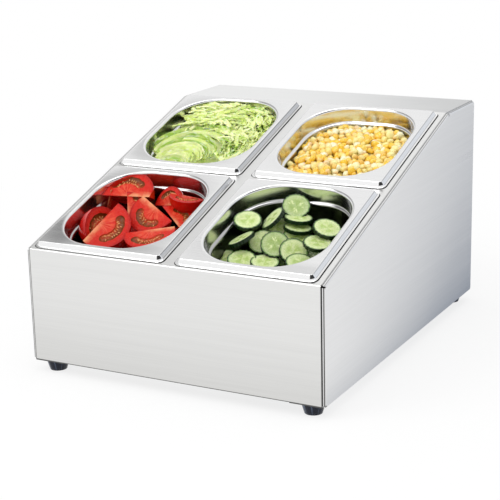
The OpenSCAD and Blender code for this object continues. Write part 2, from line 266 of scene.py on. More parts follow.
def from_pan(m, place):
    """The same three axes, with across and up the slope counted from the middle of the nearest pan."""
    x, v, w = in_deck(m, place)
    wide, long = COLUMNS["right"] - COLUMNS["left"], ROWS["rear"] - ROWS["front"]
    x = m.maths("WRAP", x - COLUMNS["left"], wide / 2, -wide / 2)
    v = m.maths("WRAP", v - ROWS["front"], long / 2, -long / 2)
    return x, v, w


def rim_painted_shade(m, place):
    """Painted light on a pan's rim: a painted shadow line at its foot, a painted dark glint at its front
    right corner, painted reflection greys and lines on its right side, and painted shade on its front land.
    """
    x, v, w = from_pan(m, place)
    up = in_deck(m, place)[1]
    left_pans = m.range(m.axes(place)[0], 0.01, -0.01)
    # Painted shadow line where the flange meets the deck.
    foot = m.range(w, 0.75, 0.55) * m.range(x - v * 0.3, 45.0, 80.0, 0.4, 1.0)
    # Painted dark glint at the front right corner of the land.
    crease_glint = m.range(x, 73.8, 74.4) * m.range(v, -81.3, -82.0) * m.range(w, 6.2, 6.0) * m.range(w, 2.2, 2.8)
    # Painted reflection greys on the right skirt, stronger on the left pans, with two painted lines along
    # it.
    right = m.range(x, 74.6, 75.4) * m.range(v, -81.0, -80.0) * m.range(w, 0.9, 1.0) * m.range(w, 6.16, 6.1)
    lines = m.most(m.range(w, 5.0, 5.4), m.range(w, 1.9, 1.5))
    grey = right * (0.06 + left_pans * 0.28 + lines * 0.25)
    # Painted shade on the front pans' front land, more round the left pan's front left corner.
    end = m.range(v, -60.0, -76.0) * m.range(x, -20.0, 10.0) * 0.16
    corner = left_pans * m.range(v, -18.0, -50.0) * m.range(x, -20.0, -58.0) * 0.44
    land_shade = (end + corner) * m.range(up, 186.0, 176.0) * m.range(w, 5.9, 6.1)
    return m.most(m.most(foot, crease_glint * 0.97), m.most(grey, land_shade))


def deep_shade(m, place):
    """How much darker a pan's wall is the deeper it lies, and more so in the two front pans."""
    v, w = in_deck(m, place)[1:]
    front = m.range(v, 186.0, 178.0)
    return m.range(w + front * -7.0, -9.0, -34.0 + front * 4.0, 0.0, 0.5 + front * 0.34)


def foot_rubber():
    """Glossy moulded rubber, near black with painted grey-blue sheens that stand for reflections, dusty
    towards the counter.
    """
    m = material("foot_rubber")
    place = m.place()
    speckle = m.noise(place, 900.0, 3.0, 0.6)
    dust = m.range(m.axes(place)[2], 0.004, 0.0, 0.0, 0.5) * m.range(speckle, 0.35, 0.7)
    # Painted reflection: grey-blue sheens laid into the colour by the way each face points.
    facing = m.node("ShaderNodeNewGeometry", out="Normal")
    sheen = m.noise(m.stretched(facing, (1.0, 1.0, 0.5)), 2.3, 2.0, 0.6)
    colour = m.mix(m.range(sheen, 0.50, 0.66), (0.003, 0.006, 0.018), (0.16, 0.21, 0.31))
    colour = m.mix(dust * 0.5, colour, (0.10, 0.10, 0.11))
    rough = 0.12 + speckle * 0.08 + dust * 0.5
    return m.surface(m.node("ShaderNodeBsdfPrincipled", sockets={
        "Base Color": colour, "Roughness": rough, "Specular IOR Level": 0.3, "Coat Weight": 0.1,
        "Normal": m.bump(speckle, 0.00004, 0.4)}))


# Modelling: what is picked is picked by its place or its normal

def start(name, add, **size):
    bpy.ops.object.select_all(action="DESELECT")
    add(**size)
    piece = bpy.context.active_object
    piece.name = name
    piece.data.name = name
    return piece


def only(*pieces):
    bpy.ops.object.select_all(action="DESELECT")
    for piece in pieces:
        piece.select_set(True)
    bpy.context.view_layer.objects.active = pieces[0]


def edit(piece, mode="FACE"):
    only(piece)
    bpy.ops.object.mode_set(mode="EDIT")
    bpy.ops.mesh.select_mode(type=mode)


def leave():
    bpy.ops.object.mode_set(mode="OBJECT")


def pick(kind, test):
    """In edit mode, selects just the faces, edges or verts that pass a test."""
    mesh = bpy.context.active_object.data
    shape = bmesh.from_edit_mesh(mesh)
    for items in (shape.faces, shape.edges, shape.verts):
        for item in items:
            item.select = False
    for item in getattr(shape, kind):
        if test(item):
            item.select = True
    shape.select_flush(True)
    bmesh.update_edit_mesh(mesh)


def draw(step):
    """Extrudes the picked face up or down by a step in millimetres."""
    bpy.ops.mesh.extrude_region_move(TRANSFORM_OT_translate={"value": (0.0, 0.0, step * MM)})


def stretch(across, along, up=1.0):
    """In edit mode, picks everything and stretches it."""
    bpy.ops.mesh.select_all(action="SELECT")
    bpy.ops.transform.resize(value=(across, along, up))


def moved(across, along, up):
    return Matrix.Translation(Vector((across, along, up)) * MM)


def turned(degrees, axis="Z"):
    return Matrix.Rotation(math.radians(degrees), 4, axis)


def modify(piece, kind, **settings):
    only(piece)
    modifier = piece.modifiers.new(kind.lower(), kind)
    for key, value in settings.items():
        setattr(modifier, key, value)
    bpy.ops.object.modifier_apply(modifier=modifier.name)


def settle(piece, matrix):
    """Puts the piece in place and writes that place into its mesh."""
    only(piece)
    piece.matrix_world = matrix @ piece.matrix_world
    bpy.context.view_layer.update()
    bpy.ops.object.transform_apply(location=True, rotation=True, scale=True)


def twin(piece, name):
    copy = piece.copy()
    copy.data = piece.data.copy()
    copy.name = name
    copy.data.name = name
    bpy.context.scene.collection.objects.link(copy)
    return copy


def joined(name, pieces):
    only(*pieces)
    bpy.ops.object.join()
    piece = bpy.context.active_object
    piece.name = name
    piece.data.name = name
    return piece


def smooth(piece, angle=35.0, weighted=True):
    only(piece)
    bpy.ops.object.shade_smooth_by_angle(angle=math.radians(angle))
    if weighted:
        modify(piece, "WEIGHTED_NORMAL", keep_sharp=True, weight=80)


def dress(piece, *finishes):
    piece.data.materials.clear()
    for finish in finishes:
        piece.data.materials.append(finish)


def belongs(piece, body, slot, *replaced):
    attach(piece, body)
    if replaced:
        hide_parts(*replaced)


def rounded_line(points, radii, steps=5):
    """A line of (radius, height) points with its corners rounded."""
    line = [points[0]]
    for before, here, after, radius in zip(points, points[1:], points[2:], radii):
        a, b, c = Vector(before), Vector(here), Vector(after)
        towards, away = (a - b).normalized(), (c - b).normalized()
        angle = towards.angle(away)
        reach = radius / math.tan(angle / 2)
        centre = b + (towards + away).normalized() * radius / math.sin(angle / 2)
        first, last = b + towards * reach - centre, b + away * reach - centre
        spread = first.angle(last)
        for i in range(steps + 1):
            s = i / steps
            arm = (first * math.sin((1 - s) * spread) + last * math.sin(s * spread)) / math.sin(spread)
            line.append(tuple(centre + arm))
    line.append(points[-1])
    return line


def step_in(line):
    """Insets the picked face from ring to ring along a line of (radius, height) points."""
    for (r0, z0), (r1, z1) in zip(line, line[1:]):
        bpy.ops.mesh.inset(thickness=(r0 - r1) * MM, depth=(z1 - z0) * MM)


def plate(name, width, length, height, radius, segments):
    """A flat rectangle with rounded corners, picked and in edit mode."""
    piece = start(name, bpy.ops.mesh.primitive_plane_add, size=1.0)
    edit(piece)
    stretch(width * MM, length * MM)
    bpy.ops.transform.translate(value=(0.0, 0.0, height * MM))
    bpy.ops.mesh.bevel(offset=radius * MM, segments=segments, affect="VERTICES")
    pick("faces", lambda f: True)
    return piece


# The pans: the wall goes down from the mouth, and the rim goes in from the flange to the land

LEDGE, LEDGE_DROP, LIP_RADIUS, HEEL_RADIUS = 3.0, 18.0, 3.0, 14.0
LIP_DRAFT, LEDGE_FALL, WALL_DRAFT = 3.0, 20.0, 4.0


def lean(run, degrees):
    """How far a wall or ledge leans over a run."""
    return run * math.tan(math.radians(degrees))


def pan_wall():
    """A pan's inside as a line of (radius, height) points round the mouth's core, from rim to floor."""
    floor = RIM_HEIGHT - PAN_DEPTH + PAN_STEEL
    mouth = MOUTH_RADIUS - LIP_RADIUS
    shoulder = mouth - lean(LEDGE_DROP, LIP_DRAFT)
    neck = shoulder - LEDGE
    neck_height = RIM_HEIGHT - LEDGE_DROP - lean(LEDGE, LEDGE_FALL)
    heel = neck - lean(neck_height - floor, WALL_DRAFT)
    return rounded_line([(MOUTH_RADIUS + 0.4, RIM_HEIGHT), (mouth, RIM_HEIGHT),
                         (shoulder, RIM_HEIGHT - LEDGE_DROP), (neck, neck_height), (heel, floor),
                         (heel - 20.0, floor)], [LIP_RADIUS, 2.0, 2.4, HEEL_RADIUS])


def drawn_pan():
    wall = pan_wall()
    well = plate("pan", 2 * (CORE_X + wall[0][0]), 2 * (CORE_Y + wall[0][0]), RIM_HEIGHT, wall[0][0], 20)
    step_in(wall)
    leave()
    rim = plate("pan_rim", PAN_WIDTH, PAN_LENGTH, PAN_STEEL, FLANGE_CORNER, 7)
    step_in(rounded_line([(FLANGE_CORNER, PAN_STEEL), (5.2, PAN_STEEL), (2.5, RIM_HEIGHT),
                          (2.1, RIM_HEIGHT)], [0.8, 1.2], 4))
    bpy.ops.mesh.delete(type="FACE")
    leave()
    pan = joined("pan", [well, rim])
    edit(pan, "EDGE")
    top = (RIM_HEIGHT - 0.01) * MM
    pick("edges", lambda e: e.is_boundary and min(v.co.z for v in e.verts) > top)
    bpy.ops.mesh.bridge_edge_loops()
    leave()
    modify(pan, "SOLIDIFY", thickness=PAN_STEEL * MM, offset=-1.0, use_even_offset=True,
           use_quality_normals=True)
    return pan


def on_deck(name):
    """The place of a pan, from its own frame to the station's."""
    row, column = name.split("_")
    return (Matrix.Translation((0.0, cad_box[0].y, FRONT_HEIGHT * MM)) @ Matrix.Rotation(SLOPE, 4, "X")
            @ Matrix.Translation((COLUMNS[column] * MM, ROWS[row] * MM, PAN_GAP * MM)))


def make_pans(land, well, skirt):
    """One drawn pan in four copies: a satin land, a skirt round it in a brighter copy of the steel as a
    painted highlight, and a polished well inside.
    """
    master = drawn_pan()
    dress(master, land, well, skirt)
    top, edge = RIM_HEIGHT - 0.6, MOUTH_RADIUS - 2.0
    for face in master.data.polygons:
        x, y, z = face.center
        inside = abs(x) < (CORE_X + edge) * MM and abs(y) < (CORE_Y + edge) * MM
        if z < top * MM:
            face.material_index = 1 if inside else 2
    smooth(master, 40.0)
    for name in PANS:
        pan = twin(master, "drawn_pan_" + name)
        settle(pan, on_deck(name))
        belongs(pan, name + "_pan", "pan_steel", "pan_" + name)
    bpy.data.objects.remove(master)


# The housing: the folded sheets keep their shape, with their bends smoothed

def folded_sheet(name, node, finish, slot="housing_steel"):
    sheet = twin(nodes[node], name)
    sheet.parent = None
    for key in list(sheet.keys()):
        del sheet[key]
    edit(sheet, "VERT")
    bpy.ops.mesh.select_all(action="SELECT")
    bpy.ops.mesh.remove_doubles(threshold=0.00001)
    bpy.ops.mesh.dissolve_limited(angle_limit=math.radians(0.5))
    leave()
    dress(sheet, finish)
    smooth(sheet, 30.0)
    belongs(sheet, "housing", slot, node)


def make_housing(deck_steel, side_steel, back_steel, plain_steel):
    folded_sheet("deck_and_apron", "deck_sheet", deck_steel)
    folded_sheet("left_side", "side_panel_left", side_steel)
    folded_sheet("right_side", "side_panel_right", side_steel)
    folded_sheet("back", "back_panel", back_steel)
    folded_sheet("tray", "base_tray", plain_steel)
    for node in ("cross_rail", "centre_rail_front", "centre_rail_rear"):
        folded_sheet(node + "_channel", node, plain_steel, "rail_steel")
    for node in ("foot_screws", "foot_washers", "foot_nuts"):
        folded_sheet(node.replace("foot", "counter_foot"), node, plain_steel, "fastener_steel")


# The feet: a tapered rubber bumper with a straight band, hollow below round its screw

def make_feet(rubber):
    base, band, hollow = 9.5, 12.5, 5.25
    taper, height = 10.0, 13.0
    foot = start("foot", bpy.ops.mesh.primitive_cone_add, vertices=56, radius1=base * MM, radius2=band * MM,
                 depth=taper * MM, location=(0.0, 0.0, taper / 2 * MM))
    edit(foot)
    pick("faces", lambda f: f.normal.z > 0.99)
    draw(height - taper)
    pick("faces", lambda f: f.normal.z < -0.99)
    for rim, depth in ((base - hollow, 6.0), (2.4, 2.0)):
        bpy.ops.mesh.inset(thickness=rim * MM)
        draw(depth)
    bpy.ops.mesh.select_mode(type="EDGE")

    def ring(e, radius, z):
        return all(abs(math.hypot(v.co.x, v.co.y) - radius * MM) < 0.0001 and abs(v.co.z - z * MM) < 0.0001
                   for v in e.verts)
    pick("edges", lambda e: ring(e, base, 0.0))
    bpy.ops.mesh.bevel(offset=1.3 * MM, segments=5)
    pick("edges", lambda e: ring(e, band, taper) or ring(e, band, height) or ring(e, hollow, 0.0))
    bpy.ops.mesh.bevel(offset=0.6 * MM, segments=3)
    leave()
    dress(foot, rubber)
    smooth(foot, 40.0)
    for node in ("foot_front_left", "foot_front_right", "foot_rear_left", "foot_rear_right"):
        low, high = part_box(node)
        copy = twin(foot, node.replace("foot", "counter_foot"))
        settle(copy, Matrix.Translation(((low.x + high.x) / 2, (low.y + high.y) / 2, 0.0)))
        belongs(copy, "housing", "foot_rubber", node)
    bpy.data.objects.remove(foot)


# The food: modelled in a pan's own frame, that is across, up the slope and square to the deck

def remember(piece):
    """Keeps each point's place in the uncut fruit, so that its pattern stays with it however it is laid."""
    places = piece.data.attributes.new("cut_place", "FLOAT_VECTOR", "POINT")
    flat = [0.0] * (3 * len(piece.data.vertices))
    piece.data.vertices.foreach_get("co", flat)
    places.data.foreach_set("vector", flat)


def tint(piece, value):
    """Gives a whole piece one number, by which its colour differs from that of its neighbours."""
    tints = piece.data.attributes.get("tint") or piece.data.attributes.new("tint", "FLOAT", "POINT")
    tints.data.foreach_set("value", [value] * len(piece.data.vertices))


def lay(piece, name, place, turn=0.0, tilt=0.0, spin=0.0, size=1.0, mirrored=False):
    """A copy of a piece, spun in its own plane, tilted, turned and put at a place given in millimetres."""
    copy = twin(piece, name)
    if mirrored:
        copy.data.transform(Matrix.Scale(-1.0, 4, (1.0, 0.0, 0.0)))
        copy.data.flip_normals()
    copy.data.transform(moved(*place) @ turned(turn) @ turned(tilt, "X") @ turned(spin)
                        @ Matrix.Scale(size, 4))
    tint(copy, random.random())
    return copy


def ball(name, segments, rings, finishes, index=0, radius=1.0):
    """A ball with its radius in millimetres, all of it in one of its finishes."""
    piece = start(name, bpy.ops.mesh.primitive_uv_sphere_add, segments=segments, ring_count=rings,
                  radius=radius * MM)
    dress(piece, *finishes)
    for face in piece.data.polygons:
        face.material_index = index
    return piece


def heap(name, place, radii, finish, value):
    """A smooth heap that fills the pan below the loose food."""
    piece = ball(name, 40, 20, [finish])
    piece.data.transform(moved(*place) @ Matrix.Diagonal((*radii, 1.0)))
    remember(piece)
    tint(piece, value)
    return piece


def past_core(x, v):
    """How far a place lies past the mouth's core, across and up the slope."""
    return max(abs(x) - CORE_X, 0.0), max(abs(v) - CORE_Y, 0.0)


def press(food):
    """Presses food flat against its pan's wall and floor where it would go through them."""
    wall, clear = pan_wall(), 0.3
    least, floor = wall[-1][0], wall[-1][1] + clear
    for vertex in food.data.vertices:
        x, v, w = (c / MM for c in vertex.co)
        over = past_core(x, v)
        out = math.hypot(*over)
        if w > RIM_HEIGHT - 1.0 or (w > floor and out < least):
            continue
        w = max(w, floor)
        reach = next(r1 + (r0 - r1) * (w - z1) / max(z0 - z1, 0.001)
                     for (r0, z0), (r1, z1) in zip(wall, wall[1:]) if w >= z1) - clear
        back = max(out - reach, 0.0) / max(out, 0.001)
        x, v = (c - math.copysign(past * back, c) for c, past in zip((x, v), over))
        vertex.co = Vector((x, v, w)) * MM


def serve(name, pieces, pan):
    """Joins pieces into one, and puts it into its pan."""
    food = joined(name, pieces)
    press(food)
    settle(food, on_deck(pan))
    belongs(food, pan + "_pan", "pan_steel")


def wet(m, colour, rough, normal, coat=0.3, soft=0.0, sheen=0.5):
    """Ends the material of a cut food: wet, and letting a little light through."""
    return m.surface(m.node("ShaderNodeBsdfPrincipled", sockets={
        "Base Color": colour, "Roughness": rough, "Normal": normal, "Coat Weight": coat,
        "Coat Roughness": 0.1, "Specular IOR Level": sheen, "Subsurface Weight": soft,
        "Subsurface Radius": (0.004, 0.003, 0.0015)}))


def cucumber_skin():
    """Deep green peel, with pale flecks and fine ridges that run through the slice."""
    m = material("cucumber_skin")
    place = m.attribute("cut_place")
    flecks = m.noise(m.stretched(place, (1.0, 1.0, 0.3)), 1400.0, 3.0, 0.6)
    patches = m.noise(place, 260.0, 2.0)
    colour = m.mix(m.range(patches, 0.35, 0.7), (0.003, 0.012, 0.002), (0.009, 0.036, 0.005))
    colour = m.mix(m.range(flecks, 0.62, 0.80, 0.0, 0.4), colour, (0.07, 0.15, 0.03))
    return wet(m, colour, 0.22 + flecks * 0.15, m.bump(flecks, 0.0002, 0.5), coat=0.15, sheen=0.3)


def cucumber_flesh():
    """Pale wet flesh, greener under the peel and in the three lobes of jelly round the seeds."""
    m = material("cucumber_flesh")
    place = m.attribute("cut_place")
    x, y, z = m.axes(place)
    away = (x * x + y * y) ** 0.5 * METRE
    around = m.maths("ARCTAN2", y, x)
    lobes = m.maths("COSINE", around * 3.0)
    grain = m.noise(m.stretched(place, (1.0, 1.0, 0.2)), 900.0, 4.0, 0.6)
    rays = m.noise(m.vector(around * 5.0, away * 0.22, z * 90.0), 1.0, 4.0, 0.7)
    tone = m.attribute("tint", "Fac")
    colour = m.mix(m.range(away, 7.0, 13.0), (0.58, 0.71, 0.25), (0.76, 0.84, 0.46))
    colour = m.mix(m.range(away, 12.6, 14.2), colour, (0.10, 0.27, 0.04))
    jelly = m.range(away, 8.6, 6.4) * m.range(lobes, -0.6, 0.5)
    colour = m.mix(jelly * 0.8, colour, (0.42, 0.58, 0.13))
    colour = m.mix(m.range(grain, 0.42, 0.70, 0.0, 0.6), colour, (0.84, 0.90, 0.60))
    outer = m.range(away, 4.0, 12.5, 0.1, 0.7)
    colour = m.mix(m.range(rays, 0.50, 0.68) * outer, colour, (0.36, 0.56, 0.14))
    specks = m.noise(place, 1100.0, 2.0, 0.5)
    colour = m.mix(m.range(specks, 0.54, 0.64, 0.0, 0.7), colour, (0.27, 0.42, 0.09))
    # The tint darkens a slice: a little at random, and strongly as painted shade on the slices given a high
    # tint.
    colour = m.mix(tone ** 3.0 * 0.8, colour, (0.13, 0.25, 0.04))
    return wet(m, colour, 0.34 - jelly * 0.14, m.bump(grain + lobes * 0.1, 0.0006, 0.6), 0.12, 0.1, 0.3)


def cucumber_seed():
    """Soft, pale seeds, half sunk in the flesh."""
    m = material("cucumber_seed")
    grain = m.noise(m.attribute("cut_place"), 1500.0, 2.0)
    colour = m.mix(grain, (0.62, 0.74, 0.30), (0.76, 0.82, 0.46))
    return wet(m, colour, 0.30 + grain * 0.1, m.bump(grain, 0.0001, 0.3), soft=0.15)


SLICE_RADIUS, SLICE_HALF, PEEL = 15.6, 1.9, 0.9


def cucumber_slice(*finishes):
    """A slice with a peel fluted by the peeler's fork, and seeds in three lobes on both faces."""
    flutes, chamfer = 22, 0.25
    step = math.tau / (3 * flutes)
    piece = start("slice", bpy.ops.mesh.primitive_cylinder_add, vertices=3 * flutes,
                  radius=SLICE_RADIUS * MM, depth=2 * SLICE_HALF * MM)
    edit(piece, "EDGE")

    def in_groove(e):
        first, last = (v.co for v in e.verts)
        upright = abs(first.x - last.x) + abs(first.y - last.y) < 1e-6
        return upright and round(math.atan2(first.y, first.x) / step) % 3 == 0
    pick("edges", in_groove)
    bpy.ops.transform.resize(value=(0.95, 0.95, 1.0))
    bpy.ops.mesh.select_mode(type="FACE")
    for side in (1, -1):
        pick("faces", lambda f: f.normal.z * side > 0.9)
        bpy.ops.mesh.inset(thickness=chamfer * MM, depth=0.12 * MM)
        bpy.ops.mesh.inset(thickness=(PEEL - chamfer) * MM)
        for size, hollow in ((0.92, 0.10), (0.72, 0.12)):
            draw(-side * hollow)
            bpy.ops.transform.resize(value=(size, size, 1.0))
    leave()
    dress(piece, *finishes)
    for face in piece.data.polygons:
        inner = math.hypot(face.center.x, face.center.y) < (SLICE_RADIUS - PEEL - 0.6) * MM
        face.material_index = 1 if inner and abs(face.normal.z) > 0.8 else 0
    grain = ball("grain", 6, 4, finishes, 2)
    grain.data.transform(Matrix.Diagonal((2.1, 0.85, 0.5, 1.0)))
    seeds = []
    for side in (1, -1):
        for lobe in range(3):
            for k in range(6):
                around = 120 * lobe + 60 + random.uniform(-34, 34)
                place = moved(random.uniform(4.2, 8.2), 0.0, side * (SLICE_HALF - 0.40))
                seed = twin(grain, "grain_%d" % len(seeds))
                seed.data.transform(turned(around) @ place @ turned(random.uniform(-20, 20)))
                seeds.append(seed)
    bpy.data.objects.remove(grain)
    piece = joined("slice", [piece] + seeds)
    remember(piece)
    smooth(piece, 38.0, False)
    return piece


# Slices that show: across, up the slope, height, turn and tilt, from the back of the pan to its front
SLICES = ((-9, 60, -10, 46, 30), (-26, 36, -13, -74, 34), (-51, 24, -11, 65, 12), (-1, 46, -16, 153, 17),
          (2, 36, -22, 150, 18), (38, 34, -17, 94, 19), (-23, 35, -23, 60, 16), (5, 25, -27, 60, 16),
          (-45, -5, -16, -106, 25), (36, 12, -22, 120, 12), (-9, 1, -22, 40, 34), (-29, 10, -27, 20, 23),
          (13, -1, -27, 50, 37), (-36, -27, -27, 70, 9), (-11, -23, -30, 125, 10), (26, -15, -31, 95, 14),
          (-61, -25, -32, -55, 18))
SLICES_AT_EDGE = ((-15, -55), (5, -58), (20, -53), (-50, -2), (-47, 24), (49, -8), (48, 20), (-8, 57),
                  (16, 56))


def serve_cucumber():
    master = cucumber_slice(cucumber_skin(), cucumber_flesh(), cucumber_seed())
    slices = [lay(master, "slice_%d" % i, (x, v, w), turn, tilt, random.uniform(0, 360))
              for i, (x, v, w, turn, tilt) in enumerate(SLICES)]
    # Most slices differ a little in tone at random; slices 0 and 10 get a dark tint as painted shade.
    for i, piece in enumerate(slices):
        tint(piece, 0.78 if i in (0, 10) else random.uniform(0.0, 0.6))
    for layer in range(3):
        for column in range(4):
            for row in range(4):
                x = (column - 1.5) * 25.0 + random.uniform(-5, 5)
                v = (row - 1.5) * 29.0 + random.uniform(-5, 5)
                w = -84.0 + layer * 12.0 + random.uniform(-4, 4)
                slices.append(lay(master, "under_%d" % len(slices), (x, v, w), random.uniform(0, 360),
                                  random.uniform(6, 34)))
    for x, v in SLICES_AT_EDGE:
        slices.append(lay(master, "edge_%d" % len(slices), (x, v, -68.0), x * 7.0, 14.0, v * 5.0))
    # Painted shade: the buried slices and those by the pan's edge get the darkest tint.
    for piece in slices[len(SLICES):]:
        tint(piece, 1.0)
    bpy.data.objects.remove(master)
    serve("cucumber_slices", slices, "front_right")


def tomato_skin():
    """Taut, shiny red skin with a fine speckle, more orange towards the stalk."""
    m = material("tomato_skin")
    place = m.attribute("cut_place")
    along = m.axes(place)[0] * METRE
    speckle = m.noise(place, 1600.0, 2.0)
    cloud = m.noise(place, 60.0, 2.0)
    ripe = m.range(along + cloud * 16.0, 14.0, 38.0, 0.0, 0.7)
    colour = m.mix(ripe, (0.55, 0.006, 0.003), (0.72, 0.045, 0.006))
    colour = m.mix(m.range(speckle, 0.62, 0.8, 0.0, 0.25), colour, (0.85, 0.25, 0.08))
    return wet(m, colour, 0.14 + speckle * 0.08, m.bump(speckle, 0.00006, 0.4), coat=0.2, sheen=0.3)


TOMATO, TOMATO_FLAT = 31.0, 0.87


def tomato_flesh():
    """Cut flesh: a red wall under the skin, lighter towards the core, and pale orange in it."""
    m = material("tomato_flesh")
    place = m.attribute("cut_place")
    x, y, z = m.axes(place)
    axial = x * (METRE / TOMATO)
    radial = (y * y + z * z) ** 0.5 * (METRE / TOMATO)
    depth = 1.0 - (axial * axial / TOMATO_FLAT ** 2 + radial * radial) ** 0.5
    fibres = m.noise(m.stretched(place, (1.0, 0.35, 0.35)), 620.0, 4.0, 0.6, 0.8)
    cloud = m.noise(place, 110.0, 3.0, 0.6)
    bearing = m.maths("ARCTAN2", radial, axial)
    comb = m.noise(m.vector(bearing * 9.0, depth * 1.5, y * 40.0), 1.0, 3.0, 0.6)
    colour = m.mix(m.range(depth, 0.02, 0.12), (0.44, 0.004, 0.003), (0.60, 0.012, 0.005))
    colour = m.mix(m.range(depth, 0.16, 0.55) * m.range(cloud, 0.35, 0.7), colour, (0.68, 0.034, 0.012))
    colour = m.mix(m.range(fibres, 0.5, 0.75, 0.0, 0.3), colour, (0.78, 0.10, 0.045))
    colour = m.mix(m.range(comb, 0.46, 0.66) * m.range(depth, 0.34, 0.62) * 0.55, colour, (0.84, 0.18, 0.08))
    core = m.range(radial + cloud * 0.5, 0.46, 0.22) * m.range(axial + cloud * 0.6, -0.05, 0.6)
    colour = m.mix(core * 0.65, colour, (0.93, 0.50, 0.24))
    relief = fibres + cloud + comb * 0.5
    return wet(m, colour, 0.22 + cloud * 0.12, m.bump(relief, 0.0009, 0.6), 0.08, 0.15, 0.16)


def tomato_gel():
    """The jelly in a cut pocket, from warm red within to dark brown by the wall, wet and uneven."""
    m = material("tomato_gel")
    place = m.attribute("cut_place")
    x, y, z = m.axes(place)
    radial = (y * y + z * z) ** 0.5 * (METRE / TOMATO)
    lumps = m.noise(place, 330.0, 4.0, 0.6, 0.6)
    axial = x * (METRE / (TOMATO * TOMATO_FLAT))
    out = (axial * axial + radial * radial) ** 0.5
    colour = m.mix(m.range(out + lumps * 0.5, 0.72, 0.98), (0.58, 0.06, 0.016), (0.16, 0.040, 0.007))
    colour = m.mix(m.range(lumps, 0.5, 0.75, 0.0, 0.6), colour, (0.44, 0.10, 0.016))
    return wet(m, colour, 0.18 + lumps * 0.1, m.bump(lumps, 0.0012, 0.7), coat=0.0, sheen=0.25)


def tomato_seed():
    """Slim golden seeds."""
    m = material("tomato_seed")
    grain = m.noise(m.attribute("cut_place"), 1300.0, 2.0)
    colour = m.mix(grain, (0.68, 0.24, 0.06), (0.86, 0.48, 0.20))
    return wet(m, colour, 0.22 + grain * 0.1, m.bump(grain, 0.0002, 0.3), coat=0.1, sheen=0.3)


def into_cut(side, turn, along, reach, height):
    """From a seed's own frame to its place by a cut face, at a bearing and a distance from the core."""
    across, up = reach * TOMATO_FLAT * math.cos(along) - 1.0, side * reach * math.sin(along)
    return turned(-turn, "X") @ moved(across, up, height)


def tomato_wedge(name, angle, wall, seed_count, finishes):
    """A wedge cut along the core, with a pocket of seeds sunk into each of its two cut faces."""
    wedge = ball(name, 64, 40, finishes, radius=TOMATO)
    wedge.data.transform(turned(90.0, "Y"))
    edit(wedge, "VERT")
    stretch(TOMATO_FLAT, 1.0)
    for ring in range(1, 7):
        pick("verts", lambda v: v.co.x > 0.0 and math.hypot(v.co.y, v.co.z) < 1.8 * ring * MM)
        bpy.ops.transform.translate(value=(-0.55 * MM, 0.0, 0.0))
    s, c = math.sin(math.radians(angle)), math.cos(math.radians(angle))
    cuts = Vector((0.0, 0.0, 1.0)), Vector((0.0, -s, -c))
    for outwards in cuts:
        bpy.ops.mesh.select_all(action="SELECT")
        bpy.ops.mesh.bisect(plane_co=(0.0, 0.0, 0.0), plane_no=outwards, use_fill=True, clear_outer=True)
    leave()
    for face in wedge.data.polygons:
        face.material_index = 1 if max(face.normal.dot(outwards) for outwards in cuts) > 0.999 else 0
    bubble = ball("bubble", 28, 16, finishes, 2)
    pip = ball("pip", 8, 6, finishes, 3)
    lobes, seeds = [], []
    for side, turn in ((1, 0.0), (-1, 180.0 + angle)):
        for bearing, length in ((50.0, 5.6), (70.0, 7.0), (92.0, 8.0), (114.0, 7.0), (134.0, 5.6)):
            along = math.radians(bearing)
            lobe = twin(bubble, "lobe")
            lobe.data.transform(into_cut(side, turn, along, TOMATO - wall - 5.6, 0.4)
                                @ turned(side * bearing) @ Matrix.Diagonal((4.6, length, 2.8, 1.0)))
            lobes.append(lobe)
        for k in range(seed_count):
            along = math.radians(44.0 + 96.0 * (k + random.random()) / seed_count)
            reach = TOMATO - wall - random.choice((7.6, 8.8, 8.8, 9.4, 4.6)) - random.uniform(-0.8, 0.8)
            seed = twin(pip, "seed")
            seed.data.transform(into_cut(side, turn, along, reach, -1.7)
                                @ Matrix.Rotation(side * along + random.uniform(-0.3, 0.3), 4, "Z")
                                @ Matrix.Diagonal((1.35, 0.5, 0.5, 1.0)))
            seeds.append(seed)
    bpy.data.objects.remove(bubble)
    bpy.data.objects.remove(pip)
    pocket = joined("pocket", lobes)
    modify(wedge, "BOOLEAN", operation="DIFFERENCE", object=pocket, solver="EXACT", use_self=True)
    bpy.data.objects.remove(pocket)
    wedge = joined(name, [wedge] + seeds)
    remember(wedge)
    smooth(wedge, 40.0, False)
    return wedge


# Wedges that show: place, turn, tilt, spin and size of each cut face, and whether it is a mirror image
WEDGES = ((-40, 40, -6, 22, 17, -12, 1.22, False), (-40, -12, -25, 82, 70, 0, 1.04, False),
          (-40, -18, -7, 31, 24, -136, 1.2, False), (-64, 32, -14, -50, 54, 97, 0.72, False),
          (-33, 30, -13, 40, 34, -103, 0.68, False), (9, 26, -8, 0, 24, 150, 1.12, False),
          (20, -9, -14, -33, 3, -126, 1.14, True), (30, 21, -17, 97, 19, -131, 0.9, False),
          (9, 47, -18, -25, 43, 17, 0.76, False), (30, 62, -10, 146, 15, 50, 0.8, False))


def serve_tomato():
    finishes = tomato_skin(), tomato_flesh(), tomato_gel(), tomato_seed()
    masters = (tomato_wedge("wedge", 58.0, 5.5, 26, finishes),
               tomato_wedge("thin_wedge", 46.0, 6.0, 22, finishes))
    wedges = [lay(masters[i % 2], "wedge_%d" % i, (x, v, w), turn, tilt, spin, size, mirrored)
              for i, (x, v, w, turn, tilt, spin, size, mirrored) in enumerate(WEDGES)]
    for column in range(3):
        for row in range(4):
            x = (column - 1) * 34.0 + random.uniform(-6, 6)
            v = (row - 1.5) * 30.0 + random.uniform(-6, 6)
            w = -43.0 + random.uniform(-6, 6)
            wedges.append(lay(masters[row % 2], "under_%d" % len(wedges), (x, v, w), random.uniform(0, 360),
                              random.uniform(0, 40), random.uniform(0, 360), 0.95))
    for master in masters:
        bpy.data.objects.remove(master)
    serve("tomato_wedges", wedges, "front_left")


